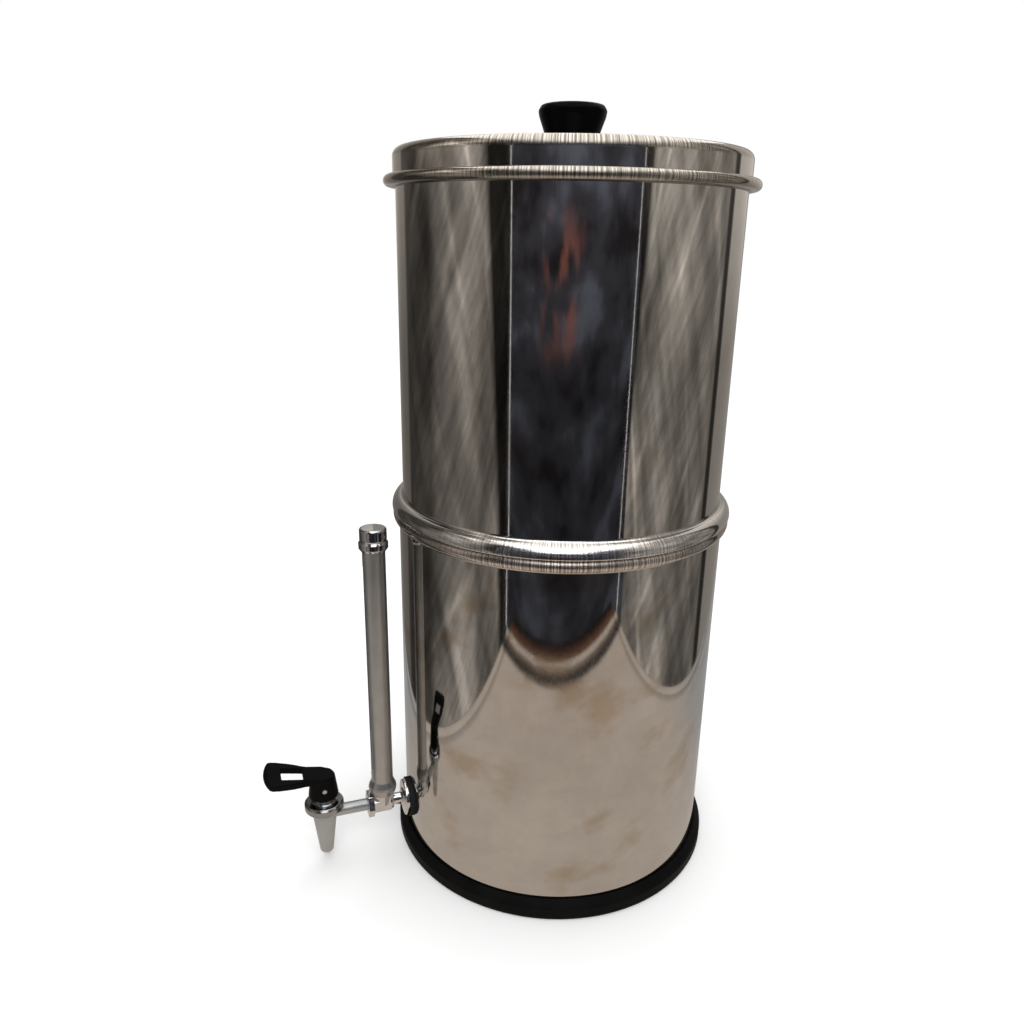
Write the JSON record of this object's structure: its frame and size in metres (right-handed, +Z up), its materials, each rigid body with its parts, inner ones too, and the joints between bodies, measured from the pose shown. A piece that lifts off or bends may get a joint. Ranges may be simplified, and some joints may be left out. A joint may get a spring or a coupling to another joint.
{
  "type": "gravity water filter with tap",
  "caption": "Two stacked steel chambers with a lift-off lid, filters inside, and a lever tap with a sight gauge at the foot.",
  "frame": {"origin": "middle of the base ring's resting face", "axes": "+Z up; the tap and its sight gauge point along -Y; +X is to the right when the tap faces the viewer"},
  "size_m": [0.225, 0.318, 0.4886],
  "materials": {
    "polished_steel": "mirror-polished stainless sheet",
    "satin_steel": "satin",
    "bright_chrome": "bright plating",
    "spring_steel": "drawn wire",
    "black_plastic": "moulded, semi-gloss",
    "base_rubber": "matte",
    "seal_rubber": "matte",
    "silicone": "satin",
    "filter_carbon": "porous",
    "gauge_glass": "clear"
  },
  "bodies": {
    "root": {"base_ring": "base_rubber", "lower_chamber": "polished_steel", "gauge_tee": "bright_chrome", "outer_washer": "seal_rubber", "inner_washer": "seal_rubber", "shank_nut": "bright_chrome", "gauge_guard": "satin_steel", "gauge_glass": "gauge_glass", "gauge_cap": "bright_chrome", "gauge_lower_seal": "silicone", "gauge_upper_seal": "silicone", "jam_nut": "bright_chrome", "faucet_body": "satin_steel", "bonnet": "bright_chrome"},
    "upper": {"upper_chamber": "polished_steel", "filter_elements": "filter_carbon", "filter_bases": "black_plastic", "filter_washers": "seal_rubber", "filter_wing_nuts": "black_plastic", "blanking_plugs": "seal_rubber", "plug_nuts": "black_plastic"},
    "lid": {"lid": "polished_steel", "lid_knob": "black_plastic", "knob_screw": "polished_steel", "knob_washer": "seal_rubber"},
    "valve": {"faucet_stem": "bright_chrome", "seat_cup": "silicone", "stem_spring": "spring_steel", "handle_pin": "spring_steel"},
    "lever": {"lever_handle": "black_plastic"}
  },
  "joints": [
    {"name": "upper_lift", "type": "slide", "parent": "root", "child": "upper", "axis": [0, 0, 1], "range_m": [0, 0.06]},
    {"name": "lid_lift", "type": "slide", "parent": "upper", "child": "lid", "axis": [0, 0, 1], "range_m": [0, 0.04]},
    {"name": "stem_lift", "type": "slide", "parent": "root", "child": "valve", "axis": [0, 0, 1], "range_m": [0, 0.0032], "stiffness_N_per_m": 300, "springref_m": -0.003, "deforming": ["stem_spring"]},
    {"name": "lever_press", "type": "hinge", "parent": "valve", "child": "lever", "pos_m": [0, -0.167, 0.0575], "axis": [1, 0, 0], "range_deg": [0, 30]}
  ],
  "couplings": [
    {"joint": "lever_press", "follows": "stem_lift", "rad_per_m": 163.6}
  ]
}
